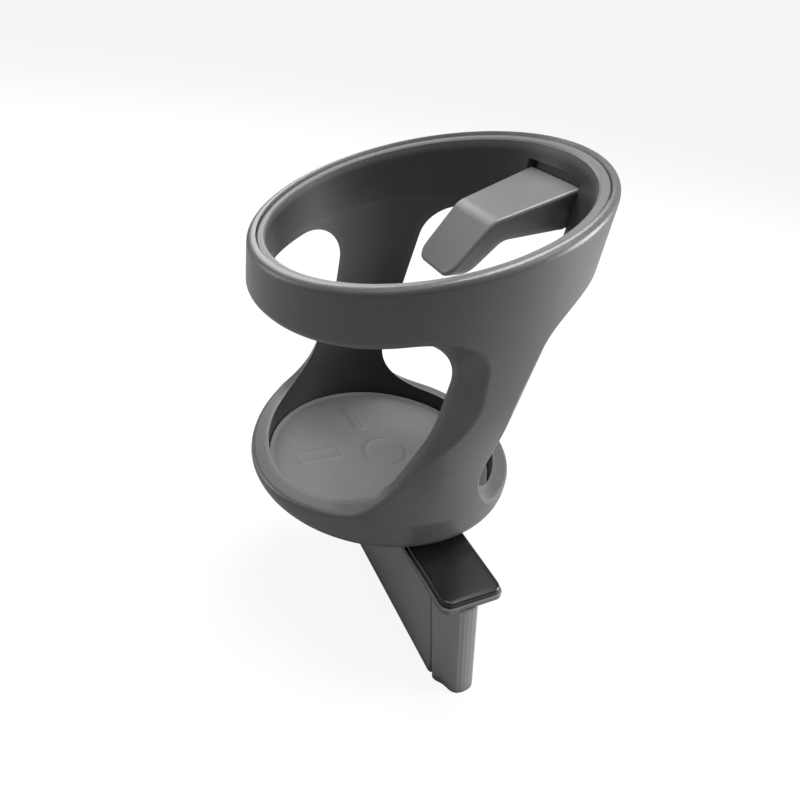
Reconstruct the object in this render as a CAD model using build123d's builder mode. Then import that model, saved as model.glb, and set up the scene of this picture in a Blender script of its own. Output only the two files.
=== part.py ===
from build123d import *
import os
from math import cos, radians, sin, sqrt, tan

# A cup holder for a car: an open moulded body with an oblique rim, two leaning legs and a
# collar round the floor, a sprung arm that steadies the cup, and a foot that plugs into a slot.
# Millimetres, +Z up. Z runs through the middle of the mouth, z = 0 is the underside of the body,
# the rim is highest on the +X side, the legs stand at -Y and +Y, the foot runs out towards -Y.

# Rim
rim_height = 82.8
rim_tilt = 18.9
rim_outer_radius = 43.3
rim_round = 1.7
rim_bead = 0.8

# Body wall: how far each part stands in from the rim's outside. The floor's middle and the
# mouth's stand back from the rim's, away from the arm.
base_shift = -1.4
mouth_shift = -1.0
collar_inset = 3.7
collar_height = 11.0
collar_round = 5.0
collar_wall = 5.2
waist_inset = 5.2
waist_rise = 5.5
thigh_inset = 2.7
thigh_share = 0.61
band_depth = 16.0
floor_thickness = 2.0

# Trim ring set into the rim
rim_lip = 2.3
trim_wall = 2.3
seam_gap = 0.2
trim_front_depth = 10.0
trim_rear_depth = 17.6
trim_edge_bevel = 0.4

# Front window, on the low side of the rim: sizes at the inner wall, and how far the opening
# grows towards the outside
front_band_low = 11.4
front_band_leg = 15.5
front_sill_low = 5.1
front_sill_slope = 18.9
front_leg_top_x = -6.8
front_leg_knee_x = -8.7
front_leg_foot_x = -16.5
front_knee_share = 0.466
front_top_corner = 10.0
front_knee_corner_share = 0.483
front_sill_corner_share = 0.242
front_flare_band = 3.4
front_flare_top = 4.6
front_flare_knee = 9.8
front_flare_foot = 12.0
front_flare_sill = 1.5

# Rear window, below the arm
rear_band = 18.2
rear_sill_height = 8.2
rear_leg_top_x = 18.2
rear_leg_foot_x = 8.0
rear_top_corner = 15.0
rear_sill_corner = 13.0
rear_flare_top = 9.2
rear_flare_foot = 10.2
rear_flare_band = 3.0
rear_flare_sill = 1.0

# The windows flare from inside the wall to just past it, and are turned a little from the rim's slope
flare_depth = 4.2
flare_margin = 0.7
window_core = 11.5
window_round = 1.6
window_turn = -1.5

# Floor mat
mat_thickness = 0.8
mat_clearance = 0.25
mat_bead_width = 1.2
mat_bead_height = 0.5
mat_bead_bevel = 0.4
mark_height = 0.35
mark_width = 0.7
mark_ring_radius = 7.0
mark_ring_x = 0.5
mark_box_length = 14.0
mark_box_width = 5.4
mark_box_x = -20.3
mark_box_y = 3.8
mark_rib_length = 13.0
mark_rib_x = -3.4
mark_rib_y = 19.5

# Arm that steadies the cup
arm_root_width = 22.0
arm_tip_width = 16.6
arm_plate = 1.8
arm_side = 2.0
arm_slope = 22.2
arm_reach = 26.0
arm_drop_slope = 54.6
arm_drop_length = 19.0
arm_rise = 7.5
arm_depth = 5.6
arm_tip_depth = 4.2
arm_tip_setback = 3.6
arm_tip_corner = 3.5
arm_bend_round = 7.0
arm_edge_round = 0.9
arm_overhang = 0.7
arm_wall_gap = 0.35

# Hinge of the arm, in from the mouth's wall and below the rim
pin_radius = 1.5
pin_inset = 3.7
pin_drop = 12.44
pin_fit = 0.05
pin_seat = 1.3
pin_end_clearance = 0.2
knuckle_radius = 3.7
lug_radius = 3.0
lug_thickness = 3.0
lug_gap = 0.35
lug_fit = 0.02

# Torsion spring round the pin
spring_wire = 0.8
spring_wire_sides = 8
spring_clearance = 0.25
spring_turns = 3
spring_pitch = 0.95
spring_leg = 8.0
spring_leg_lift = 6.0
spring_hole_depth = 1.2
spring_hole_fit = 0.1

# Foot
foot_slant = 11.9
foot_thickness = 11.5
foot_depth = 41.8
foot_side_margin = 0.4
foot_far_margin = 2.0
foot_nose_margin = 0.5
foot_nose_length = 6.9
foot_nose_inset = 2.6
foot_step = 3.0
foot_nose_corner = 2.7
foot_corner = 1.5
foot_shoulder_round = 0.9
foot_step_round = 1.4
foot_inner_round = 0.5
foot_nose_inner_round = 1.1
foot_groove_width = 1.1
foot_groove_depth = 1.0
foot_rib_radius = 0.2
foot_rib_spacing = 1.9
foot_rib_count = 4
flange_width = 18.8
flange_reach = 17.6
flange_far_y = 12.0
flange_corner = 2.6
flange_thickness = 1.7
cover_thickness = 1.6
cover_inset = 0.6
cover_edge_bevel = 0.5

# Screws that hold the foot to the body
screw_radius = 1.7
screw_head_radius = 3.1
head_angle = 90
screw_length = 13.0
screw_middle_y = -11.0
screw_spacing = 15.0
screw_count = 3
screw_clearance = 0.2
screw_pilot_fit = 0.02

# How far cutting shapes run past what they cut
overrun = 12.0

# Finding edges and faces: nearness, places along an edge, and the least upward share of a top face
near_enough = 0.01
edge_shares = (0.1, 0.5, 0.8)
edge_ends = (0, 0.5, 1)
top_share = 0.3

rim_slope = tan(radians(rim_tilt))
rim_plane = Plane(origin=(0, 0, rim_height), z_dir=(-rim_slope, 0, 1))
bead_plane = Plane(origin=(0, 0, rim_height + rim_bead), z_dir=(-rim_slope, 0, 1))
wall_top = rim_height + rim_outer_radius * rim_slope + overrun
far_out = rim_outer_radius + overrun
foot_lean = tan(radians(foot_slant))
turn_cos = cos(radians(window_turn))
turn_sin = sin(radians(window_turn))
window_plane = Plane(origin=(0, 0, 0), x_dir=(turn_cos, turn_sin, 0), z_dir=(turn_sin, -turn_cos, 0))


def rim_z(x):
    """Height of the rim plane above the point x."""
    return rim_height + x * rim_slope


collar_radius = rim_outer_radius - collar_inset
waist_radius = rim_outer_radius - waist_inset
thigh_radius = rim_outer_radius - thigh_inset
floor_radius = collar_radius - collar_wall
seam_radius = rim_outer_radius - rim_lip
mouth_radius = seam_radius - trim_wall
band_start_height = rim_z(-rim_outer_radius) - band_depth
collar_plane = Plane.XY.offset(collar_height)
band_plane = Plane.XY.offset(band_start_height)
flare_start = mouth_radius - flare_depth
flare_end = rim_outer_radius + flare_margin
pin_x = mouth_radius + mouth_shift - pin_inset
pin_height = rim_z(pin_x) - pin_drop


def lies_in(plane):
    """Test for edges that lie in a plane."""
    return lambda edge: all(abs(plane.to_local_coords(edge @ share).Z) < near_enough for share in edge_shares)


def in_one_of(faces):
    """Test for edges that belong to just one of several faces."""
    return lambda edge: sum(edge in face.edges() for face in faces) == 1


def wall_share(z):
    """How far up the cup's wall the height z lies: 0 at the floor, 1 at the middle of the mouth."""
    return (z - floor_thickness) / (rim_height - floor_thickness)


def cup_radius(z):
    """Radius of the cup space at height z."""
    return floor_radius + (mouth_radius - floor_radius) * wall_share(z)


def cup_middle(z):
    """X of the cup space's middle at height z."""
    return base_shift + (mouth_shift - base_shift) * wall_share(z)


def borders(opening):
    """Test for edges that lie on the surface of an opening."""
    return lambda edge: all(opening.part.distance_to(edge @ share) < near_enough for share in edge_shares)


def on_outside(edge):
    """True for an edge that stays on the outer half of the wall."""
    half_wall = (rim_outer_radius - mouth_radius) / 2
    points = [edge @ share for share in edge_ends]
    reaches = [sqrt((point.X - cup_middle(point.Z)) ** 2 + point.Y ** 2) for point in points]
    return all(reach > cup_radius(point.Z) + half_wall for reach, point in zip(reaches, points))


# Plane on which the trim ring sits, deeper below the rim at the arm than at the front
seat_low = rim_z(-seam_radius) - trim_front_depth
seat_high = rim_z(seam_radius) - trim_rear_depth
seat_slope = (seat_high - seat_low) / (2 * seam_radius)
seat_plane = Plane(origin=(0, 0, (seat_low + seat_high) / 2), z_dir=(-seat_slope, 0, 1))

# Space for the cup, widening from the floor to the mouth
with BuildPart() as cup_space:
    with BuildSketch(Plane.XY.offset(floor_thickness)):
        with Locations((cup_middle(floor_thickness), 0)):
            Circle(cup_radius(floor_thickness))
    with BuildSketch(Plane.XY.offset(wall_top)):
        with Locations((cup_middle(wall_top), 0)):
            Circle(cup_radius(wall_top))
    loft()

# Space that the trim ring takes in the body
with BuildPart() as trim_space:
    with BuildSketch(Plane.XY.offset(seat_low)):
        Circle(seam_radius + seam_gap)
    extrude(amount=wall_top - seat_low)
    split(bisect_by=seat_plane, keep=Keep.TOP)


def front_window(flare):
    """Corners of the front window in side view, from flare 0 at the inner wall to 1 outside."""
    band_far = rim_z(-rim_outer_radius) - front_band_low + flare * front_flare_band
    band_leg = rim_z(0) - front_band_leg + flare * front_flare_band
    band_slope = (band_leg - band_far) / rim_outer_radius
    sill_slope = tan(radians(front_sill_slope))
    sill_far = front_sill_low - flare * front_flare_sill
    top_x = front_leg_top_x + flare * front_flare_top
    knee_x = front_leg_knee_x + flare * front_flare_knee
    foot_x = front_leg_foot_x + flare * front_flare_foot
    return (
        (-far_out, band_leg - far_out * band_slope),
        (top_x, band_leg + top_x * band_slope),
        (knee_x, rim_height * front_knee_share),
        (foot_x, sill_far + (foot_x + rim_outer_radius) * sill_slope),
        (-far_out, sill_far + (rim_outer_radius - far_out) * sill_slope),
    )


def rear_window(flare):
    """Corners of the rear window in side view, from flare 0 at the inner wall to 1 outside."""
    sill = rear_sill_height - flare * rear_flare_sill
    top_x = rear_leg_top_x - flare * rear_flare_top
    foot_x = rear_leg_foot_x - flare * rear_flare_foot
    band = rear_band - flare * rear_flare_band
    return (
        (far_out, rim_z(far_out) - band),
        (top_x, rim_z(top_x) - band),
        (foot_x, sill),
        (far_out, sill),
    )


front_knee_corner = rim_height * front_knee_corner_share
front_sill_corner = rim_height * front_sill_corner_share
front_corners = (0, front_top_corner, front_knee_corner, front_sill_corner, 0)
rear_corners = (0, rear_top_corner, rear_sill_corner, 0)

# Windows cut from the wall: straight through the middle, flaring outwards at the legs
flare_steps = ((flare_end, 1), (flare_start, 0), (window_core, 0))
far_sections = [(-y, flare) for y, flare in flare_steps]
near_sections = [(y, flare) for y, flare in reversed(flare_steps)]
flare_sections = far_sections + near_sections
with BuildPart() as front_opening:
    for y, flare in flare_sections:
        with BuildSketch(window_plane.offset(y)):
            with BuildLine():
                FilletPolyline(*front_window(flare), radius=front_corners, close=True)
            make_face()
    loft()

with BuildPart() as rear_opening:
    for y, flare in flare_sections:
        with BuildSketch(window_plane.offset(y)):
            with BuildLine():
                FilletPolyline(*rear_window(flare), radius=rear_corners, close=True)
            make_face()
    loft()

# Space that the arm's root needs in the wall as it turns
knuckle_x = pin_x + knuckle_radius
arm_root_x = knuckle_x + arm_overhang
arm_sweep = sqrt((arm_root_x - pin_x) ** 2 + arm_rise ** 2)
recess_end_x = arm_root_x + arm_wall_gap
with BuildPart() as arm_recess:
    with BuildSketch(Plane.XY.offset(pin_height)):
        with Locations(((pin_x + recess_end_x) / 2, 0)):
            Rectangle(recess_end_x - pin_x, arm_root_width + 2 * arm_wall_gap)
    extrude(amount=arm_sweep + arm_wall_gap, both=True)

# Places of the foot and its screws: the flange reaches out past the collar
flange_near_y = -collar_radius - flange_reach
foot_left_x = foot_side_margin - flange_width / 2
foot_right_x = foot_left_x + foot_thickness
screw_x = (foot_left_x + foot_right_x) / 2
first_screw_y = screw_middle_y - screw_spacing * (screw_count - 1) / 2
screw_spots = [(screw_x, first_screw_y + number * screw_spacing) for number in range(screw_count)]
screw_head_height = (screw_head_radius - screw_radius) / tan(radians(head_angle / 2))
thigh_height = collar_height + (band_start_height - collar_height) * thigh_share
leg_sections = (
    (collar_height, base_shift, collar_radius),
    (collar_height + waist_rise, base_shift, waist_radius),
    (thigh_height, base_shift / 2, thigh_radius),
    (band_start_height, 0, rim_outer_radius),
)

# Body: floor, collar, two legs and the band under the rim in one moulding
with BuildPart() as outer_shell:
    with BuildSketch():
        with Locations((base_shift, 0)):
            Circle(collar_radius)
    extrude(amount=collar_height)
    fillet(outer_shell.edges().group_by(Axis.Z)[0], collar_round)
    for height, middle, radius in leg_sections:
        with BuildSketch(Plane.XY.offset(height)):
            with Locations((middle, 0)):
                Circle(radius)
    loft()
    with BuildSketch(band_plane):
        Circle(rim_outer_radius)
    extrude(amount=wall_top - band_start_height)
    split(bisect_by=bead_plane, keep=Keep.BOTTOM)
    fillet(outer_shell.edges().filter_by(lies_in(bead_plane)), rim_round)
    add(cup_space.part, mode=Mode.SUBTRACT)
    add(trim_space.part, mode=Mode.SUBTRACT)
    add(front_opening.part, mode=Mode.SUBTRACT)
    add(rear_opening.part, mode=Mode.SUBTRACT)
    outside = outer_shell.edges().filter_by(on_outside)
    window_edges = outside.filter_by(borders(front_opening)) + outside.filter_by(borders(rear_opening))
    leg_creases = outside.filter_by(lies_in(collar_plane)) + outside.filter_by(lies_in(band_plane))
    fillet(window_edges + leg_creases, window_round)
    add(arm_recess.part, mode=Mode.SUBTRACT)
    with Locations(*[(x, y, floor_thickness) for x, y in screw_spots]):
        CounterSinkHole(
            screw_radius + screw_clearance,
            screw_head_radius + screw_clearance,
            counter_sink_angle=head_angle,
        )

# Floor mat with a beaded edge and raised mould marks
mat_radius = floor_radius - mat_clearance
mat_top = floor_thickness + mat_thickness
with BuildPart() as floor_mat:
    with BuildSketch(Plane.XY.offset(floor_thickness)):
        with Locations((base_shift, 0)):
            Circle(mat_radius)
    extrude(amount=mat_thickness + mat_bead_height)
    with BuildSketch(Plane.XY.offset(mat_top)):
        with Locations((base_shift, 0)):
            Circle(mat_radius - mat_bead_width)
    extrude(amount=mat_bead_height, mode=Mode.SUBTRACT)
    chamfer(floor_mat.edges().group_by(Axis.Z)[-1], mat_bead_bevel)
    with BuildSketch(Plane.XY.offset(mat_top)):
        with Locations((mark_ring_x, 0)):
            Circle(mark_ring_radius)
            Circle(mark_ring_radius - mark_width, mode=Mode.SUBTRACT)
        with Locations((mark_box_x, mark_box_y)):
            Rectangle(mark_box_length, mark_box_width)
            Rectangle(mark_box_length - 2 * mark_width, mark_box_width - 2 * mark_width, mode=Mode.SUBTRACT)
        with Locations((mark_rib_x, mark_rib_y)):
            SlotOverall(mark_rib_length, 2 * mark_width, rotation=90)
    extrude(amount=mark_height)

# Trim ring: a sleeve that lines the rim, with two lugs for the arm's hinge
arm_length = arm_reach * cos(radians(arm_slope)) + arm_drop_length * cos(radians(arm_drop_slope))
arm_taper = (arm_root_width - arm_tip_width) / 2 / arm_length


def arm_inner_half(x):
    """Half the width between the arm's sides at x."""
    return arm_root_width / 2 - arm_side - (arm_root_x - x) * arm_taper


lug_outer_y = arm_inner_half(pin_x - lug_radius) - lug_gap
lug_inner_y = lug_outer_y - lug_thickness
lug_root_x = sqrt(((mouth_radius + seam_radius) / 2) ** 2 - lug_outer_y ** 2)
spring_radius = pin_radius + spring_clearance + spring_wire / 2
spring_length = spring_turns * spring_pitch
wall_leg = mouth_radius + spring_hole_depth / 2 - pin_x
with BuildPart() as trim_ring:
    with BuildSketch(Plane.XY.offset(seat_low)):
        Circle(seam_radius)
    extrude(amount=wall_top - seat_low)
    split(bisect_by=seat_plane, keep=Keep.TOP)
    split(bisect_by=rim_plane, keep=Keep.BOTTOM)
    add(cup_space.part, mode=Mode.SUBTRACT)
    chamfer(trim_ring.edges().filter_by(lies_in(rim_plane)), trim_edge_bevel)
    add(arm_recess.part, mode=Mode.SUBTRACT)
    for side in (-1, 1):
        with BuildSketch(Plane.XZ.offset(side * (lug_inner_y + lug_outer_y) / 2)):
            with Locations((pin_x, pin_height)):
                Circle(lug_radius)
            with Locations(((pin_x + lug_root_x) / 2, pin_height)):
                Rectangle(lug_root_x - pin_x, 2 * lug_radius)
        extrude(amount=lug_thickness / 2, both=True)
    with BuildSketch(Plane.XZ):
        with Locations((pin_x, pin_height)):
            Circle(pin_radius + lug_fit)
    extrude(amount=lug_outer_y, both=True, mode=Mode.SUBTRACT)
    with BuildSketch(Plane(origin=(0, -spring_length / 2, pin_height + spring_radius), z_dir=(1, 0, 0))):
        Circle(spring_wire / 2 + spring_hole_fit)
    extrude(amount=mouth_radius + spring_hole_depth, mode=Mode.SUBTRACT)

# Hinge pin
with BuildPart() as hinge_pin:
    with BuildSketch(Plane.XZ):
        with Locations((pin_x, pin_height)):
            Circle(pin_radius)
    extrude(amount=arm_inner_half(pin_x) + pin_seat, both=True)

# Arm in side view: a plate that slopes along the rim, bends and drops to its tip
arm_root = Vector(arm_root_x, pin_height + arm_rise)
arm_run = Vector(-cos(radians(arm_slope)), -sin(radians(arm_slope)))
arm_run_under = Vector(sin(radians(arm_slope)), -cos(radians(arm_slope)))
arm_drop = Vector(-cos(radians(arm_drop_slope)), -sin(radians(arm_drop_slope)))
arm_drop_under = Vector(sin(radians(arm_drop_slope)), -cos(radians(arm_drop_slope)))
arm_miter = (arm_run_under + arm_drop_under) / (1 + arm_run_under.dot(arm_drop_under))
arm_bend = arm_root + arm_run * arm_reach
arm_tip = arm_bend + arm_drop * arm_drop_length
arm_heel = arm_tip + arm_drop_under * arm_tip_depth - arm_drop * arm_tip_setback
arm_crook = arm_bend + arm_miter * arm_depth
tip_half = arm_tip_width / 2
root_half = arm_root_width / 2

with BuildPart() as arm_space:
    with BuildSketch(Plane.XZ):
        with BuildLine():
            FilletPolyline(
                arm_root + arm_run_under * arm_plate - arm_run * overrun,
                arm_bend + arm_miter * arm_plate,
                arm_tip + arm_drop_under * arm_plate - arm_drop * arm_side,
                arm_heel - arm_drop * arm_side + arm_drop_under * arm_depth,
                arm_root + arm_run_under * (arm_depth + arm_reach) - arm_run * overrun,
                radius=(0, arm_bend_round - arm_plate, 0, 0, 0),
                close=True,
            )
        make_face()
    extrude(amount=root_half, both=True)
    with BuildSketch():
        with BuildLine():
            Polyline(
                (arm_root.X + overrun, arm_inner_half(arm_root.X + overrun)),
                (arm_tip.X, tip_half - arm_side),
                (arm_tip.X, arm_side - tip_half),
                (arm_root.X + overrun, -arm_inner_half(arm_root.X + overrun)),
                close=True,
            )
        make_face()
    extrude(amount=wall_top, mode=Mode.INTERSECT)

with BuildPart() as cup_arm:
    with BuildSketch(Plane.XZ):
        with BuildLine():
            FilletPolyline(
                (knuckle_x, pin_height),
                arm_root,
                arm_bend,
                arm_tip,
                arm_heel,
                arm_crook,
                (pin_x, pin_height - knuckle_radius),
                radius=(0, arm_bend_round, 0, 0, arm_bend_round - arm_plate),
            )
            RadiusArc((pin_x, pin_height - knuckle_radius), (knuckle_x, pin_height), -knuckle_radius)
        make_face()
    extrude(amount=root_half, both=True)
    with BuildSketch():
        with BuildLine():
            Polyline(
                (arm_root.X, root_half),
                (arm_tip.X, tip_half),
                (arm_tip.X, -tip_half),
                (arm_root.X, -root_half),
                close=True,
            )
        make_face()
    extrude(amount=wall_top, mode=Mode.INTERSECT)
    arm_end = cup_arm.faces().sort_by(Axis.X)[0]
    fillet(arm_end.edges().filter_by(Axis.Y, reverse=True), arm_tip_corner)
    arm_top = cup_arm.faces().filter_by(lambda face: face.normal_at().Z > top_share)
    fillet(arm_top.edges().filter_by(in_one_of(arm_top)), arm_edge_round)
    add(arm_space.part, mode=Mode.SUBTRACT)
    with BuildSketch(Plane.XZ):
        with Locations((pin_x, pin_height)):
            Circle(pin_radius + pin_fit)
    extrude(amount=arm_inner_half(pin_x) + pin_seat + pin_end_clearance, both=True, mode=Mode.SUBTRACT)

# Torsion spring: a coil of tilted half turns round the pin, one leg in the ring's wall, one under the arm
spring_plane = Plane(origin=(pin_x, -spring_length / 2, pin_height), x_dir=(0, 0, 1), z_dir=(0, 1, 0))
spring_end = arm_slope - spring_leg_lift
arm_leg_start = Vector(spring_radius, 0, spring_length).rotate(Axis.Z, -spring_end)
with BuildPart() as spring_form:
    with BuildSketch(Plane(origin=(spring_radius, 0, 0), z_dir=(0, 1, 0))):
        RegularPolygon(spring_wire / 2, spring_wire_sides)
    extrude(amount=wall_leg)
    for half_turn in range(2 * spring_turns):
        side = 1 if half_turn % 2 == 0 else -1
        height = half_turn * spring_pitch / 2
        heading = Vector(0, -side, 0)
        start = Vector(side * spring_radius, 0, height)
        middle = Vector(0, 0, height + spring_pitch / 4)
        with BuildSketch(Plane(origin=start, z_dir=heading)):
            RegularPolygon(spring_wire / 2, spring_wire_sides)
        revolve(axis=Axis(middle, (start - middle).cross(heading)), revolution_arc=180)
    with BuildSketch(Plane(origin=(spring_radius, 0, spring_length), z_dir=(0, -1, 0))):
        RegularPolygon(spring_wire / 2, spring_wire_sides)
    revolve(axis=Axis((0, 0, spring_length), (0, 0, -1)), revolution_arc=spring_end)
    with BuildSketch(Plane(origin=arm_leg_start, z_dir=Vector(0, -1, 0).rotate(Axis.Z, -spring_end))):
        RegularPolygon(spring_wire / 2, spring_wire_sides)
    extrude(amount=spring_leg)

with BuildPart() as arm_spring:
    with Locations(spring_plane):
        add(spring_form.part)

# Foot: a slanting blade with a rounded nose, under a flange
flange_top = -cover_thickness
flange_bottom = flange_top - flange_thickness
flange_middle_y = (flange_near_y + flange_far_y) / 2
flange_length = flange_far_y - flange_near_y
foot_far_y = flange_far_y - foot_far_margin
foot_nose_y = flange_near_y + foot_nose_margin
foot_shoulder_y = foot_nose_y + foot_nose_length
nose_left_x = foot_left_x + foot_nose_inset
step_y = foot_shoulder_y - foot_step
with BuildPart() as foot_blade:
    with BuildSketch(Plane.XY.offset(flange_bottom)):
        with BuildLine():
            FilletPolyline(
                (foot_left_x, foot_far_y),
                (foot_left_x, foot_shoulder_y),
                (foot_left_x + foot_groove_depth, foot_shoulder_y),
                (foot_left_x + foot_groove_depth, foot_shoulder_y - foot_groove_width),
                (foot_left_x, foot_shoulder_y - foot_groove_width),
                (foot_left_x, step_y),
                (nose_left_x, step_y),
                (nose_left_x, foot_nose_y),
                (foot_right_x, foot_nose_y),
                (foot_right_x, foot_far_y),
                radius=(
                    foot_corner,
                    foot_shoulder_round,
                    0,
                    0,
                    foot_inner_round,
                    foot_step_round,
                    foot_nose_inner_round,
                    foot_nose_corner,
                    foot_nose_corner,
                    foot_corner,
                ),
                close=True,
            )
        make_face()
        nose_middle = (nose_left_x + foot_right_x) / 2
        with Locations((nose_middle, foot_nose_y)):
            with GridLocations(foot_rib_spacing, 0, foot_rib_count, 1):
                Circle(foot_rib_radius, mode=Mode.SUBTRACT)
    extrude(amount=foot_depth, dir=(foot_lean, 0, -1))
    with BuildSketch(Plane.XY.offset(flange_bottom)):
        with Locations((0, flange_middle_y)):
            RectangleRounded(flange_width, flange_length, flange_corner)
    extrude(amount=flange_thickness)
    with Locations(*[(x, y, flange_top) for x, y in screw_spots]):
        Hole(screw_radius + screw_pilot_fit, depth=screw_length)

# Gloss cover on the flange
with BuildPart() as foot_cover:
    with BuildSketch(Plane.XY.offset(flange_top)):
        with Locations((0, flange_middle_y)):
            RectangleRounded(flange_width - 2 * cover_inset, flange_length - 2 * cover_inset, flange_corner)
    extrude(amount=cover_thickness)
    chamfer(foot_cover.faces().sort_by(Axis.Z)[-1].edges(), cover_edge_bevel)
    with Locations(*screw_spots):
        Hole(screw_radius + screw_clearance)

# Screws down through the floor into the blade
head_up = (Align.CENTER, Align.CENTER, Align.MAX)
with BuildPart() as foot_screws:
    with Locations(*[(x, y, floor_thickness) for x, y in screw_spots]):
        Cone(screw_radius, screw_head_radius, screw_head_height, align=head_up)
        Cylinder(screw_radius, screw_length, align=head_up)

os.makedirs("parts", exist_ok=True)
pieces = {
    "outer_shell": outer_shell,
    "trim_ring": trim_ring,
    "floor_mat": floor_mat,
    "cup_arm": cup_arm,
    "hinge_pin": hinge_pin,
    "arm_spring": arm_spring,
    "foot_blade": foot_blade,
    "foot_cover": foot_cover,
    "foot_screws": foot_screws,
}
for name, piece in pieces.items():
    piece.part.label = name
    export_step(piece.part, f"parts/{name}.step")
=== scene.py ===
import bmesh
import bpy
from math import cos, exp, hypot, pi, radians, sin, tan
from mathutils import Matrix, Vector


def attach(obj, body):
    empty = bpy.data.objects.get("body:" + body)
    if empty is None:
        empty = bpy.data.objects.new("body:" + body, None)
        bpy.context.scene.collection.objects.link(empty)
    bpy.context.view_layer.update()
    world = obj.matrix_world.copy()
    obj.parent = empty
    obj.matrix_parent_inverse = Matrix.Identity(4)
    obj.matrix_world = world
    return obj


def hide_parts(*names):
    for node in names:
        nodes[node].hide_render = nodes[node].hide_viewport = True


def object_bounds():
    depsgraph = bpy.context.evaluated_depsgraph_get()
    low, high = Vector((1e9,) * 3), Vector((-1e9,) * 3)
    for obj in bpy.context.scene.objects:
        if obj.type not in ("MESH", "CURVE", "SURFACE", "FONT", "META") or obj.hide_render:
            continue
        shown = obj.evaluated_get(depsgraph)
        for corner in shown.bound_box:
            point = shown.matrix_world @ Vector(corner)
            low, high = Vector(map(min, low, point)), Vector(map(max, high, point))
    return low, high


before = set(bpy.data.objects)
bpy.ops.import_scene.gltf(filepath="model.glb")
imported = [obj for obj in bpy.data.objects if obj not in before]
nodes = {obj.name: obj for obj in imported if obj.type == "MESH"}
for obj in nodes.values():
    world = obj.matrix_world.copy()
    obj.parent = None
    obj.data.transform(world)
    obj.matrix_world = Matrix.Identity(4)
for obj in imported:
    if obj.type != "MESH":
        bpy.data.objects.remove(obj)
cad_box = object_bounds()
scene = bpy.context.scene

# The scene is in metres. Lengths of the part are written in millimetres.
MM = 0.001
WHITE = (1.0, 1.0, 1.0, 1.0)

# Camera, from the photograph's viewing angle
CAMERA_PLACE = Vector((-77.51, -129.73, 119.88)) * MM
CAMERA_RIGHT = Vector((0.88879951, -0.43253869, 0.15147842))
CAMERA_DOWN = Vector((-0.12451665, -0.54600207, -0.82847893))
CAMERA_AHEAD = Vector((0.44105672, 0.71749009, -0.53914464))
SENSOR_WIDTH = 36.0
LENS = 27.04
CLIP_NEAR = 0.01
CLIP_FAR = 20.0


def make_camera():
    data = bpy.data.cameras.new("photo_camera")
    data.sensor_width = SENSOR_WIDTH
    data.sensor_fit = "HORIZONTAL"
    data.lens = LENS
    data.clip_start = CLIP_NEAR
    data.clip_end = CLIP_FAR
    camera = bpy.data.objects.new("photo_camera", data)
    axes = (CAMERA_RIGHT, -CAMERA_DOWN, -CAMERA_AHEAD)
    turn = Matrix([[axis[row] for axis in axes] for row in range(3)]).to_4x4()
    camera.matrix_world = Matrix.Translation(CAMERA_PLACE) @ turn
    scene.collection.objects.link(camera)
    scene.camera = camera


# Node helpers
NOISE_LOW = 0.3
NOISE_HIGH = 0.7


def connect(tree, value, socket):
    """Links a socket, or sets a constant."""
    if isinstance(value, bpy.types.NodeSocket):
        tree.links.new(value, socket)
    else:
        socket.default_value = value


def add_node(tree, kind, operation=None, **inputs):
    """Adds a shader node. Inputs are socket names, with underscores for spaces, and constants or sockets."""
    node = tree.nodes.new(kind)
    if operation:
        node.operation = operation
    for name, value in inputs.items():
        connect(tree, value, node.inputs[name.replace("_", " ")])
    return node


def maths(tree, operation, first, second):
    node = add_node(tree, "ShaderNodeMath", operation)
    connect(tree, first, node.inputs[0])
    connect(tree, second, node.inputs[1])
    return node.outputs["Value"]


def product(tree, first, *factors):
    for factor in factors:
        first = maths(tree, "MULTIPLY", first, factor)
    return first


def lifted(tree, share, amount):
    """A factor of 1 where the share is 0, and of 1 and the amount where it is 1."""
    return maths(tree, "ADD", 1.0, product(tree, share, amount))


def vector_maths(tree, operation, *vectors):
    """Outputs of a vector node: Value for a dot product, and otherwise Vector."""
    node = add_node(tree, "ShaderNodeVectorMath", operation)
    for index, vector in enumerate(vectors):
        connect(tree, vector, node.inputs[index])
    return node.outputs


def spread(tree, value, low, high, to_low, to_high):
    """Maps low..high onto to_low..to_high, and holds what lies outside."""
    node = add_node(
        tree, "ShaderNodeMapRange", From_Min=low, From_Max=high, To_Min=to_low, To_Max=to_high, Value=value
    )
    return node.outputs["Result"]


def object_place(tree):
    return add_node(tree, "ShaderNodeTexCoord").outputs["Object"]


def noise(tree, place, scale, detail, roughness=0.5):
    node = add_node(
        tree, "ShaderNodeTexNoise", Vector=place, Scale=scale, Detail=detail, Roughness=roughness
    )
    return node.outputs["Fac"]


def varied(tree, pattern, low, high):
    """Values from low to high that follow a noise."""
    return spread(tree, pattern, NOISE_LOW, NOISE_HIGH, low, high)


def openness(tree, reach, samples, inside=False):
    """Share of directions that are free within a reach, over the surface or inside the solid."""
    node = add_node(tree, "ShaderNodeAmbientOcclusion", Distance=reach * MM)
    node.inside = inside
    node.samples = samples
    return node.outputs["AO"]


def new_material(name):
    material = bpy.data.materials.new(name)
    material.use_nodes = True
    return material, material.node_tree, material.node_tree.nodes["Principled BSDF"]


def set_colour(tree, shader, colour, tone):
    """Base colour, scaled by a tone."""
    shade = add_node(tree, "ShaderNodeVectorMath", "SCALE", Scale=tone)
    shade.inputs[0].default_value = colour
    tree.links.new(shade.outputs["Vector"], shader.inputs["Base Color"])


def set_bump(tree, shader, height, depth):
    bump = add_node(tree, "ShaderNodeBump", Strength=1.0, Distance=depth * MM, Height=height)
    tree.links.new(bump.outputs["Normal"], shader.inputs["Normal"])


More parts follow.
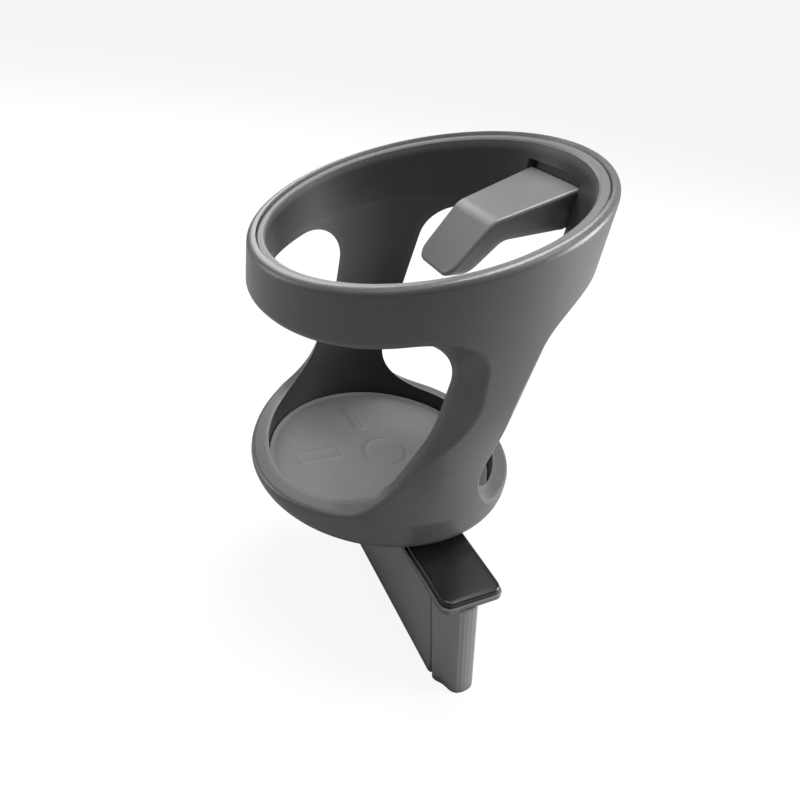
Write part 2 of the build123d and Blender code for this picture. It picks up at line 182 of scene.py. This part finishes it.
# Moulded plastic and rubber
CLOUD_SCALE = 38.0
CLOUD_DETAIL = 4.0
CLOUD_ROUGHNESS = 0.6
CLOUD_SHARE = 0.06
SPECK_SCALE = 900.0
SPECK_DETAIL = 2.0
SPECK_LOW = 0.35
SPECK_HIGH = 0.65
SPECK_SHARE = 0.03
GRAIN_DETAIL = 3.0
GRAIN_ROUGHNESS = 0.6
# Thin edges: a painted highlight on the colour, and a lower roughness
EDGE_SAMPLES = 8
EDGE_THICK = 0.92
EDGE_THIN = 0.55
EDGE_SHEEN_LEAST = 0.6
WEAR_POLISH = 0.14
ROUGHNESS_SHARE = 0.03
# Painted shade in hollows, from the share of open directions within a reach
HOLLOW_REACH = 7.0
HOLLOW_SAMPLES = 6
HOLLOW_DEEP = 0.3
HOLLOW_OPEN = 0.85
DARK_FADE = 1.0
# The rim's plane: its height over the middle and its slope along X
RIM_HEIGHT = 82.8
RIM_SLOPE = 0.34238
# Depths under that plane at which the painted inside shade starts and is full
INSIDE_START = 1.2
INSIDE_FULL = 3.0
# Heights of the lower and the upper painted inside shade
INSIDE_LOW = 15.0
INSIDE_HIGH = 70.0
# Normal against outward, from a face that fully looks inwards to one that doesn't
TURNED_FULL = -0.8
TURNED_NONE = -0.3


def inner_faces(tree, place):
    """How far a face looks towards the middle axis: at all heights, and under the rim alone."""
    normal = add_node(tree, "ShaderNodeNewGeometry").outputs["Normal"]
    level = vector_maths(tree, "MULTIPLY", place, (1.0, 1.0, 0.0))["Vector"]
    outward = vector_maths(tree, "NORMALIZE", level)["Vector"]
    turned = vector_maths(tree, "DOT_PRODUCT", outward, normal)["Value"]
    facing = spread(tree, turned, TURNED_FULL, TURNED_NONE, 1.0, 0.0)
    over_rim = vector_maths(tree, "DOT_PRODUCT", place, (-RIM_SLOPE, 0.0, 1.0))["Value"]
    below = spread(
        tree, over_rim, (RIM_HEIGHT - INSIDE_FULL) * MM, (RIM_HEIGHT - INSIDE_START) * MM, 1.0, 0.0
    )
    return facing, product(tree, below, facing)


def moulded(
    name,
    grey,
    roughness,
    specular,
    grain,
    grain_depth,
    painted_edge_highlight,
    edge_width,
    hollow_painted_shade,
    # inside: factors of painted shade on inward faces, at the lower and the upper height
    inside=(1.0, 1.0),
    rim_painted_highlight=0.0,
    dark_over=None,
    dark_tone=1.0,
):
    """Plastic or rubber with a cloudy tone and a fine grain.

    Edges get a painted highlight and are smoother, and the rim's inner edge a further painted highlight.
    Hollows get painted shade, faces that look inwards under the rim get painted shade by the inside factors,
    and what lies over the height dark_over has the tone dark_tone.
    """
    material, tree, shader = new_material(name)
    place = object_place(tree)
    height = add_node(tree, "ShaderNodeSeparateXYZ", Vector=place).outputs["Z"]
    clouds = noise(tree, place, CLOUD_SCALE, CLOUD_DETAIL, CLOUD_ROUGHNESS)
    specks = noise(tree, place, SPECK_SCALE, SPECK_DETAIL)
    thickness = openness(tree, edge_width, EDGE_SAMPLES, inside=True)
    edge = spread(tree, thickness, EDGE_THICK, EDGE_THIN, 0.0, 1.0)
    painted_edge_sheen_and_polish = product(tree, edge, varied(tree, clouds, EDGE_SHEEN_LEAST, 1.0))
    free = openness(tree, HOLLOW_REACH, HOLLOW_SAMPLES)
    facing, inner = inner_faces(tree, place)
    # Painted shade on faces that look inwards under the rim, from the lower to the upper height
    inside_painted_shade = spread(tree, height, INSIDE_LOW * MM, INSIDE_HIGH * MM, *inside)
    tone = product(
        tree,
        varied(tree, clouds, 1.0 - CLOUD_SHARE, 1.0 + CLOUD_SHARE),
        spread(tree, specks, SPECK_LOW, SPECK_HIGH, 1.0 - SPECK_SHARE, 1.0 + SPECK_SHARE),
        # painted highlight along thin edges
        lifted(tree, painted_edge_sheen_and_polish, painted_edge_highlight),
        # painted shade in hollows
        spread(tree, free, HOLLOW_DEEP, HOLLOW_OPEN, 1.0 - hollow_painted_shade, 1.0),
        # painted highlight on the rim's inner edge, above the inside shade
        lifted(tree, maths(tree, "SUBTRACT", facing, inner), rim_painted_highlight),
        # painted shade on inward faces under the rim
        spread(tree, inner, 0.0, 1.0, 1.0, inside_painted_shade),
    )
    if dark_over is not None:
        dark = spread(tree, height, (dark_over - DARK_FADE) * MM, dark_over * MM, 1.0, dark_tone)
        tone = product(tree, tone, dark)
    set_colour(tree, shader, (grey, grey, grey), tone)
    dull = varied(tree, clouds, roughness - ROUGHNESS_SHARE, roughness + ROUGHNESS_SHARE)
    polish = product(tree, painted_edge_sheen_and_polish, WEAR_POLISH)
    tree.links.new(maths(tree, "SUBTRACT", dull, polish), shader.inputs["Roughness"])
    shader.inputs["Specular IOR Level"].default_value = specular
    grains = noise(tree, place, grain, GRAIN_DETAIL, GRAIN_ROUGHNESS)
    set_bump(tree, shader, grains, grain_depth)
    return material


# Polished plastic and steel
BLACK = (0.01, 0.01, 0.01)
BLACK_SPECULAR = 0.4
BLACK_ROUGHNESS = (0.19, 0.25)
WIPE_STRETCH = (260.0, 30.0, 260.0)
WIPE_DETAIL = 4.0
WIPE_ROUGHNESS = 0.65
WIPE_TONE = (0.8, 1.2)
WAVE_SCALE = 120.0
WAVE_DETAIL = 1.0
WAVE_DEPTH = 0.004
STEEL = (0.52, 0.52, 0.53)
STEEL_ROUGHNESS = (0.24, 0.4)
SPOT_SCALE = 420.0
SPOT_DETAIL = 4.0
SPOT_TONE = (0.85, 1.08)
SCRATCH_SCALE = 3200.0
SCRATCH_DETAIL = 1.0
SCRATCH_DEPTH = 0.006


def gloss_black(name):
    """Polished black plastic with faint wiping marks."""
    material, tree, shader = new_material(name)
    place = object_place(tree)
    stretched = add_node(tree, "ShaderNodeMapping", Vector=place, Scale=WIPE_STRETCH).outputs["Vector"]
    wipes = noise(tree, stretched, 1.0, WIPE_DETAIL, WIPE_ROUGHNESS)
    set_colour(tree, shader, BLACK, varied(tree, wipes, *WIPE_TONE))
    tree.links.new(varied(tree, wipes, *BLACK_ROUGHNESS), shader.inputs["Roughness"])
    shader.inputs["Specular IOR Level"].default_value = BLACK_SPECULAR
    set_bump(tree, shader, noise(tree, place, WAVE_SCALE, WAVE_DETAIL), WAVE_DEPTH)
    return material


def bright_steel(name):
    """Bright steel with dull spots and fine scratches."""
    material, tree, shader = new_material(name)
    place = object_place(tree)
    spots = noise(tree, place, SPOT_SCALE, SPOT_DETAIL)
    set_colour(tree, shader, STEEL, varied(tree, spots, *SPOT_TONE))
    tree.links.new(varied(tree, spots, *STEEL_ROUGHNESS), shader.inputs["Roughness"])
    shader.inputs["Metallic"].default_value = 1.0
    set_bump(tree, shader, noise(tree, place, SCRATCH_SCALE, SCRATCH_DETAIL), SCRATCH_DEPTH)
    return material


def paint(node, material):
    mesh = nodes[node].data
    mesh.materials.clear()
    mesh.materials.append(material)


# The edge, hollow, inside and rim amounts in these materials are painted highlight and painted shade.
shell_plastic = moulded(
    "shell_plastic",
    grey=0.086,
    roughness=0.38,
    specular=0.5,
    grain=2600.0,
    grain_depth=0.012,
    painted_edge_highlight=0.5,
    edge_width=1.6,
    hollow_painted_shade=0.4,
    inside=(0.12, 0.55),
    rim_painted_highlight=3.0,
)
trim_plastic = moulded(
    "trim_plastic",
    grey=0.14,
    roughness=0.42,
    specular=0.4,
    grain=2600.0,
    grain_depth=0.012,
    painted_edge_highlight=0.3,
    edge_width=1.0,
    hollow_painted_shade=0.0,
    inside=(0.34, 0.34),
)
arm_plastic = moulded(
    "arm_plastic",
    grey=0.15,
    roughness=0.36,
    specular=0.5,
    grain=2600.0,
    grain_depth=0.01,
    painted_edge_highlight=0.7,
    edge_width=1.6,
    hollow_painted_shade=0.2,
)
mat_rubber = moulded(
    "mat_rubber",
    grey=0.125,
    roughness=0.58,
    specular=0.3,
    grain=1800.0,
    grain_depth=0.02,
    painted_edge_highlight=0.3,
    edge_width=0.8,
    hollow_painted_shade=0.3,
)
foot_plastic = moulded(
    "foot_plastic",
    grey=0.185,
    roughness=0.42,
    specular=0.6,
    grain=2200.0,
    grain_depth=0.012,
    painted_edge_highlight=0.4,
    edge_width=1.0,
    hollow_painted_shade=0.55,
    dark_over=-3.2,
    dark_tone=0.45,
)
cover_plastic = gloss_black("cover_plastic")
steel = bright_steel("steel")

paint("outer_shell", shell_plastic)
paint("trim_ring", trim_plastic)
paint("cup_arm", arm_plastic)
paint("hinge_pin", steel)
paint("foot_screws", steel)

# Mesh helpers, in millimetres
CREASE = radians(40.0)
CORNER_STEPS = 10
LEAST_CORNER = 0.3
PLATE_MARGIN = 0.6


def add_piece(name, mesher, material, body="holder", replaced=None):
    """Turns a mesh into a piece that rides on a body, and may stand for a CAD node."""
    bmesh.ops.recalc_face_normals(mesher, faces=mesher.faces[:])
    bmesh.ops.scale(mesher, vec=(MM, MM, MM), verts=mesher.verts[:])
    mesh = bpy.data.meshes.new(name)
    mesher.to_mesh(mesh)
    mesher.free()
    mesh.shade_smooth()
    mesh.set_sharp_from_angle(angle=CREASE)
    mesh.materials.append(material)
    piece = bpy.data.objects.new(name, mesh)
    scene.collection.objects.link(piece)
    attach(piece, body)
    if replaced:
        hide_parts(replaced)


def add_skin(mesher, rings):
    """Adds a skin through closed rings of equal length, with a face across each end."""
    loops = [[mesher.verts.new(point) for point in ring] for ring in rings]
    count = len(loops[0])
    for lower, upper in zip(loops, loops[1:]):
        for index in range(count):
            after = (index + 1) % count
            mesher.faces.new((lower[index], lower[after], upper[after], upper[index]))
    mesher.faces.new(loops[0])
    mesher.faces.new(loops[-1])


def rounded_rectangle(middle, width, length, corner):
    """Plan of a rectangle with rounded corners."""
    points = []
    for turn, side_x, side_y in ((0, 1, 1), (1, -1, 1), (2, -1, -1), (3, 1, -1)):
        centre_x = middle[0] + side_x * (width / 2 - corner)
        centre_y = middle[1] + side_y * (length / 2 - corner)
        for step in range(CORNER_STEPS + 1):
            angle = (turn + step / CORNER_STEPS) * pi / 2
            points.append((centre_x + corner * cos(angle), centre_y + corner * sin(angle)))
    return points


def plate_rings(middle, width, length, corner, low, high, low_round, high_round, steps):
    """Rings of a plate whose lower and upper edges are rounded, with a flat margin inside each."""
    quarter = [pi / 2 * step / steps for step in range(steps + 1)]
    profile = [(low_round + PLATE_MARGIN, low)]
    for angle in quarter:
        profile.append((low_round * (1 - sin(angle)), low + low_round * (1 - cos(angle))))
    for angle in quarter:
        profile.append((high_round * (1 - cos(angle)), high - high_round * (1 - sin(angle))))
    profile.append((high_round + PLATE_MARGIN, high))
    rings = []
    for inset, height in profile:
        inner_corner = max(corner - inset, LEAST_CORNER)
        plan = rounded_rectangle(middle, width - 2 * inset, length - 2 * inset, inner_corner)
        rings.append([(x, y, height) for x, y in plan])
    return rings


def smooth_run(points, steps):
    """Points along a smooth curve through the given points, without the last one."""
    run = []
    for index in range(len(points) - 1):
        before = Vector(points[max(index - 1, 0)])
        start = Vector(points[index])
        end = Vector(points[index + 1])
        after = Vector(points[min(index + 2, len(points) - 1)])
        for step in range(steps):
            t = step / steps
            run.append(
                0.5
                * (
                    2 * start
                    + (end - before) * t
                    + (2 * before - 5 * start + 4 * end - after) * t**2
                    + (3 * start - before - 3 * end + after) * t**3
                )
            )
    return run


# Floor mat: a disc with a beaded edge and three soft raised marks
MAT_CENTRE_X = -1.4
MAT_RADIUS = 34.15
MAT_LOW = 2.0
MAT_TOP = 2.8
MAT_BEAD_WIDTH = 1.2
MAT_BEAD_RISE = 0.5
# Share of the bead's width that rises, after which it stays level to the edge
MAT_BEAD_CREST = 0.7
MARK_RISE = 0.24
MARK_SOFTNESS = 0.65
RING_CENTRE = (0.5, 0.0)
RING_RADIUS = 6.65
FRAME_CENTRE = (-20.3, 3.8)
FRAME_HALF = (6.6, 2.3)
RIB_CENTRE = (-2.4, 19.5)
RIB_HALF = 4.8
RIB_RADIUS = 1.5
MAT_RINGS = 86
MAT_SPOKES = 384


def mat_rise(x, y, radius):
    """Height of the mat's face over its flat top."""
    ring_gap = hypot(x - RING_CENTRE[0], y - RING_CENTRE[1]) - RING_RADIUS
    over_x = abs(x - FRAME_CENTRE[0]) - FRAME_HALF[0]
    over_y = abs(y - FRAME_CENTRE[1]) - FRAME_HALF[1]
    frame_gap = hypot(max(over_x, 0.0), max(over_y, 0.0)) + min(max(over_x, over_y), 0.0)
    past_rib = max(abs(y - RIB_CENTRE[1]) - RIB_HALF, 0.0)
    rib_gap = max(hypot(x - RIB_CENTRE[0], past_rib) - RIB_RADIUS, 0.0)
    mark = max(exp(-((gap / MARK_SOFTNESS) ** 2)) for gap in (ring_gap, frame_gap, rib_gap))
    share = min(max((radius - MAT_RADIUS + MAT_BEAD_WIDTH) / MAT_BEAD_WIDTH, 0.0), MAT_BEAD_CREST)
    return MARK_RISE * mark + MAT_BEAD_RISE * sin(pi / 2 * share / MAT_BEAD_CREST) ** 2


def make_mat():
    mesher = bmesh.new()
    rings = []
    for ring in range(1, MAT_RINGS + 1):
        radius = MAT_RADIUS * ring / MAT_RINGS
        loop = []
        for spoke in range(MAT_SPOKES):
            angle = 2 * pi * spoke / MAT_SPOKES
            x = MAT_CENTRE_X + radius * cos(angle)
            y = radius * sin(angle)
            loop.append(mesher.verts.new((x, y, MAT_TOP + mat_rise(x, y, radius))))
        rings.append(loop)
    edge = [mesher.verts.new((vert.co.x, vert.co.y, MAT_LOW)) for vert in rings[-1]]
    rings.append(edge)
    middle = mesher.verts.new((MAT_CENTRE_X, 0.0, MAT_TOP + mat_rise(MAT_CENTRE_X, 0.0, 0.0)))
    for spoke in range(MAT_SPOKES):
        after = (spoke + 1) % MAT_SPOKES
        mesher.faces.new((middle, rings[0][spoke], rings[0][after]))
        for inner, outer in zip(rings, rings[1:]):
            mesher.faces.new((inner[spoke], outer[spoke], outer[after], inner[after]))
    mesher.faces.new(edge)
    add_piece("floor_mat_soft", mesher, mat_rubber, replaced="floor_mat")


# Foot: a flange plate, and a leaning blade with a fluted nose
FLANGE_MIDDLE = (0.0, -22.6)
FLANGE_WIDTH = 18.8
FLANGE_LENGTH = 69.2
FLANGE_CORNER = 2.6
FLANGE_LOW = -3.3
FLANGE_TOP = -1.6
FLANGE_LOW_ROUND = 0.45
FLANGE_TOP_ROUND = 0.4
FLANGE_STEPS = 6
BLADE_OVERLAP = 0.4
BLADE_LEAN = 11.9
BLADE_BOTTOM = -44.2
BLADE_LEFT = -9.0
BLADE_RIGHT = 2.5
BLADE_FAR = 10.0
# Heights over the blade's bottom, and how far its outline is drawn in there
BLADE_EDGE = ((1.2, 0.0), (0.3, 0.0), (0.1, 0.12), (0.0, 0.32))
FAR_CORNER = 1.2
FAR_CORNER_CUT = 0.35
SIDE_STEP = 3.0
LEFT_POINTS = 18
RIGHT_POINTS = 21
NOSE_STEPS = 6
NOSE_POINTS = (
    (-9.0, -46.4),
    (-8.98, -47.5),
    (-8.85, -48.2),
    (-8.5, -48.7),
    (-8.0, -48.95),
    (-7.75, -49.25),
    (-7.95, -49.55),
    (-8.45, -49.75),
    (-8.75, -50.1),
    (-8.75, -50.7),
    (-8.4, -51.6),
    (-7.6, -52.6),
    (-6.9, -53.6),
    (-6.4, -54.9),
    (-5.7, -56.3),
    (-4.6, -57.25),
    (-3.1, -57.65),
    (-1.2, -57.65),
    (0.4, -57.3),
    (1.6, -56.4),
    (2.3, -55.1),
    (2.5, -53.6),
)
FLUTE_START = -49.0
FLUTE_LEVEL = -53.6
FLUTE_FADE = 1.5
FLUTE_LENGTH = 1.3
FLUTE_DEPTH = 0.1
# The flutes' depth goes up and down by a share along the outline, so that they aren't all alike
FLUTE_SWING = 0.3
FLUTE_SWING_RATE = 1.7


def blade_plan():
    """Outline of the blade under the flange: the left side, the nose, the right side and the far end."""
    far_level = BLADE_FAR - FAR_CORNER
    left = [Vector((BLADE_LEFT, far_level - step * SIDE_STEP)) for step in range(LEFT_POINTS)]
    nose = smooth_run(NOSE_POINTS, NOSE_STEPS)
    nose_end = NOSE_POINTS[-1][1]
    right = [Vector((BLADE_RIGHT, nose_end + step * SIDE_STEP)) for step in range(RIGHT_POINTS)]
    far = [
        Vector((BLADE_RIGHT, far_level)),
        Vector((BLADE_RIGHT - FAR_CORNER_CUT, BLADE_FAR - FAR_CORNER_CUT)),
        Vector((BLADE_RIGHT - FAR_CORNER, BLADE_FAR)),
        Vector((BLADE_LEFT + FAR_CORNER, BLADE_FAR)),
        Vector((BLADE_LEFT + FAR_CORNER_CUT, BLADE_FAR - FAR_CORNER_CUT)),
    ]
    return left + nose + right + far


def inward(plan, index):
    """Unit vector from an outline's point into the blade."""
    along = plan[(index + 1) % len(plan)] - plan[index - 1]
    return Vector((-along.y, along.x)).normalized()


def fluted(plan):
    """The outline with shallow flutes pressed into the front of its nose."""
    result = []
    walked = 0.0
    for index, point in enumerate(plan):
        nose_share = min(max((FLUTE_LEVEL - point.y) / FLUTE_FADE, 0.0), 1.0)
        if point.y < FLUTE_START:
            walked += (point - plan[index - 1]).length
        wave = 0.5 - 0.5 * cos(2 * pi * walked / FLUTE_LENGTH)
        wave *= 1.0 - FLUTE_SWING + FLUTE_SWING * cos(FLUTE_SWING_RATE * walked)
        result.append(point + inward(plan, index) * FLUTE_DEPTH * nose_share * wave)
    return result


def blade_ring(plan, drop, inset, top):
    """The outline at a drop under the blade's top, drawn in by an inset and moved along with the lean."""
    shift = drop * tan(radians(BLADE_LEAN))
    ring = []
    for index, point in enumerate(plan):
        place = point + inward(plan, index) * inset
        ring.append((place.x + shift, place.y, top - drop))
    return ring


def make_foot():
    mesher = bmesh.new()
    flange = plate_rings(
        FLANGE_MIDDLE,
        FLANGE_WIDTH,
        FLANGE_LENGTH,
        FLANGE_CORNER,
        FLANGE_LOW,
        FLANGE_TOP,
        FLANGE_LOW_ROUND,
        FLANGE_TOP_ROUND,
        FLANGE_STEPS,
    )
    add_skin(mesher, flange)
    plan = fluted(blade_plan())
    top = FLANGE_LOW + BLADE_OVERLAP
    depth = top - BLADE_BOTTOM
    levels = [(0.0, 0.0), (depth / 2, 0.0)] + [(depth - rise, inset) for rise, inset in BLADE_EDGE]
    add_skin(mesher, [blade_ring(plan, drop, inset, top) for drop, inset in levels])
    add_piece("foot_blade_fluted", mesher, foot_plastic, replaced="foot_blade")


# Cover: a polished plate on the flange, with softly rounded upper edges
COVER_WIDTH = 17.6
COVER_LENGTH = 68.0
COVER_TOP = 0.0
COVER_LOW_ROUND = 0.15
COVER_TOP_ROUND = 0.9
COVER_STEPS = 8


def make_cover():
    mesher = bmesh.new()
    plate = plate_rings(
        FLANGE_MIDDLE,
        COVER_WIDTH,
        COVER_LENGTH,
        FLANGE_CORNER,
        FLANGE_TOP,
        COVER_TOP,
        COVER_LOW_ROUND,
        COVER_TOP_ROUND,
        COVER_STEPS,
    )
    add_skin(mesher, plate)
    add_piece("foot_cover_polished", mesher, cover_plastic, replaced="foot_cover")


# Torsion spring: the coil and its wall leg stay with the holder, the other leg goes with the arm
PIN = Vector((34.0, 0.0, 82.0008))
SPRING_WIRE = 0.4
SPRING_SIDES = 10
SPRING_RADIUS = 2.15
SPRING_LENGTH = 2.85
SPRING_TURNS = 3
SPRING_TURN_STEPS = 36
SPRING_WALL_LEG = 5.3
SPRING_ARM_LEG = 8.0
SPRING_END = radians(16.2)
SPRING_TRAVEL = radians(62.0)
SPRING_TRAVEL_STEPS = 12


def spring_point(angle, share):
    """Point on the coil's line, the angle from straight up over the pin and towards the arm's tip."""
    out = SPRING_RADIUS * Vector((-sin(angle), 0.0, cos(angle)))
    return PIN + out + Vector((0.0, (share - 0.5) * SPRING_LENGTH, 0.0))


def wire_rings(path):
    """Rings round a path that stays near the plane of the coil's turns."""
    rings = []
    for index, point in enumerate(path):
        along = (path[min(index + 1, len(path) - 1)] - path[max(index - 1, 0)]).normalized()
        side = along.cross(Vector((0.0, 1.0, 0.0))).normalized()
        over = side.cross(along)
        ring = []
        for step in range(SPRING_SIDES):
            angle = 2 * pi * step / SPRING_SIDES
            ring.append(point + SPRING_WIRE * (cos(angle) * side + sin(angle) * over))
        rings.append(ring)
    return rings


def make_spring():
    """The arm's leg starts with a bend over the arm's travel, which stays on the coil's line at all poses."""
    steps = SPRING_TURN_STEPS * SPRING_TURNS
    coil = [spring_point(0.0, 0.0) + Vector((SPRING_WALL_LEG, 0.0, 0.0))]
    coil += [spring_point(2 * pi * SPRING_TURNS * step / steps, step / steps) for step in range(steps + 1)]
    mesher = bmesh.new()
    add_skin(mesher, wire_rings(coil))
    add_piece("arm_spring_coil", mesher, steel, replaced="arm_spring")
    leg = []
    for step in range(SPRING_TRAVEL_STEPS + 1):
        share = step / SPRING_TRAVEL_STEPS
        leg.append(spring_point(SPRING_END * share - SPRING_TRAVEL * (1 - share), 1.0))
    leg.append(leg[-1] + SPRING_ARM_LEG * Vector((-cos(SPRING_END), 0.0, -sin(SPRING_END))))
    mesher = bmesh.new()
    add_skin(mesher, wire_rings(leg))
    add_piece("arm_spring_leg", mesher, steel, body="arm")


# Floor: near white to the camera, with the object's faint shadow, and pale grey to other rays
FLOOR_HALF = 3.0
FLOOR_ROUGHNESS = 0.9
FLOOR_TONE = 0.45
FLOOR_TONE_SEEN = 0.95
SEEN_WHITE = 0.9


def make_floor():
    floor_level = cad_box[0][2]
    floor_mesh = bpy.data.meshes.new("floor")
    corners = ((-1, -1), (1, -1), (1, 1), (-1, 1))
    points = [(x * FLOOR_HALF, y * FLOOR_HALF, floor_level) for x, y in corners]
    floor_mesh.from_pydata(points, [], [(0, 1, 2, 3)])
    floor = bpy.data.objects.new("floor", floor_mesh)
    scene.collection.objects.link(floor)
    floor_material, tree, shader = new_material("floor")
    shader.inputs["Roughness"].default_value = FLOOR_ROUGHNESS
    glow = add_node(tree, "ShaderNodeEmission", Color=WHITE, Strength=1.0)
    seen = tree.nodes.new("ShaderNodeLightPath").outputs["Is Camera Ray"]
    tree.links.new(spread(tree, seen, 0.0, 1.0, FLOOR_TONE, FLOOR_TONE_SEEN), shader.inputs["Base Color"])
    mix = add_node(tree, "ShaderNodeMixShader", Fac=product(tree, seen, SEEN_WHITE))
    tree.links.new(shader.outputs["BSDF"], mix.inputs[1])
    tree.links.new(glow.outputs["Emission"], mix.inputs[2])
    tree.links.new(mix.outputs["Shader"], tree.nodes["Material Output"].inputs["Surface"])
    floor_mesh.materials.append(floor_material)


# Lamps: degrees round and above the object, size in metres and power in watts
LAMP_TARGET = Vector((0.0, 0.0, 0.04))
LAMP_DISTANCE = 0.9
LAMPS = (
    ("key", 336.0, 14.0, 0.5, 9.5),
    ("front_high", 314.0, 56.0, 0.4, 2.4),
    ("overhead", 80.0, 84.0, 0.32, 4.8),
    ("back_high", 46.0, 64.0, 0.42, 4.2),
    ("back", 92.0, 33.0, 0.45, 2.0),
    ("left_back", 142.0, 10.0, 0.4, 1.6),
    ("left_high", 186.0, 56.0, 0.4, 1.2),
)


def soft_lamp(name, azimuth, elevation, size, power):
    data = bpy.data.lights.new(name, "AREA")
    data.shape = "DISK"
    data.size = size
    data.energy = power
    lamp = bpy.data.objects.new(name, data)
    level = cos(radians(elevation))
    away = Vector((level * cos(radians(azimuth)), level * sin(radians(azimuth)), sin(radians(elevation))))
    lamp.location = LAMP_TARGET + away * LAMP_DISTANCE
    lamp.rotation_euler = (-away).to_track_quat("-Z", "Y").to_euler()
    scene.collection.objects.link(lamp)


# World: near white to the camera, a pale sheen in mirrored rays, dim otherwise
WORLD_DIM = 0.04
WORLD_SEEN = 0.91
WORLD_MIRRORED = 0.26


def make_world():
    world = bpy.data.worlds.new("studio")
    scene.world = world
    world.use_nodes = True
    tree = world.node_tree
    backdrop = tree.nodes["Background"]
    backdrop.inputs["Color"].default_value = WHITE
    ray = tree.nodes.new("ShaderNodeLightPath").outputs
    seen = spread(tree, ray["Is Camera Ray"], 0.0, 1.0, WORLD_DIM, WORLD_SEEN)
    mirrored = maths(tree, "MAXIMUM", ray["Is Glossy Ray"], ray["Is Transmission Ray"])
    sheen = product(tree, mirrored, WORLD_MIRRORED)
    tree.links.new(maths(tree, "ADD", seen, sheen), backdrop.inputs["Strength"])


make_camera()
make_spring()
make_mat()
make_foot()
make_cover()
make_floor()
for lamp_row in LAMPS:
    soft_lamp(*lamp_row)
make_world()

scene.view_settings.view_transform = "Standard"
